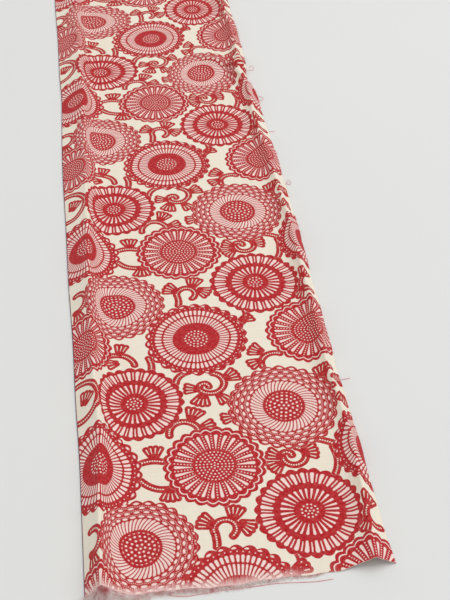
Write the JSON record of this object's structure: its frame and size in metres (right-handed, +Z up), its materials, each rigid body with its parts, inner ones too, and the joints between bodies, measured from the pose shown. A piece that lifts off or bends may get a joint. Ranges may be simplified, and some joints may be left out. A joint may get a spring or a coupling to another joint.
{
  "type": "printed cotton cloth strip",
  "caption": "Long strip of printed cotton cloth laid flat, with two pressed creases along its sides, a narrow flap outside each crease and frayed cut edges.",
  "frame": {"origin": "centre of the strip's underside as it lies on a table, with its short end fringes and its small edge threads, but without the free weft thread", "axes": "+Y along the strip, away from the near cut end; +X from the selvedge to the raw edge; +Z up from the table"},
  "size_m": [0.1876, 1.009, 0.0127],
  "materials": {
    "printed_cotton": "plain-woven cotton, matt, cream with a red print",
    "selvedge_yarn": "dark purple edge yarns, matt",
    "loose_yarn": "single pale pink cotton yarns, matt and slightly fuzzy"
  },
  "bodies": {
    "panel": {"centre_panel": "printed_cotton", "selvedge_shoulder": "printed_cotton", "raw_shoulder": "printed_cotton", "near_fringe_panel": "loose_yarn", "far_fringe_panel": "loose_yarn", "loose_weft_thread": "loose_yarn"},
    "selvedge_flap": {"selvedge_flap": "printed_cotton", "selvedge_yarns": "selvedge_yarn", "near_fringe_selvedge": "loose_yarn", "far_fringe_selvedge": "loose_yarn"},
    "raw_flap": {"raw_flap": "printed_cotton", "far_fringe_raw": "loose_yarn", "raw_edge_fringe": "loose_yarn", "edge_loop_lower": "loose_yarn", "edge_loop_middle": "loose_yarn", "edge_loop_upper": "loose_yarn", "edge_end_lower": "loose_yarn", "edge_end_middle": "loose_yarn"}
  },
  "joints": [
    {"name": "selvedge_crease", "type": "hinge", "parent": "panel", "child": "selvedge_flap", "pos_m": [-0.07705, 0, 0.011], "axis": [0.0125, 0.9999, -0.004], "range_deg": [-10, 90], "stiffness_Nm_per_rad": 0.004},
    {"name": "raw_crease", "type": "hinge", "parent": "panel", "child": "raw_flap", "pos_m": [0.07645, 0, 0.00875], "axis": [0.0005, -1, 0.0005], "range_deg": [-10, 90], "stiffness_Nm_per_rad": 0.004}
  ]
}
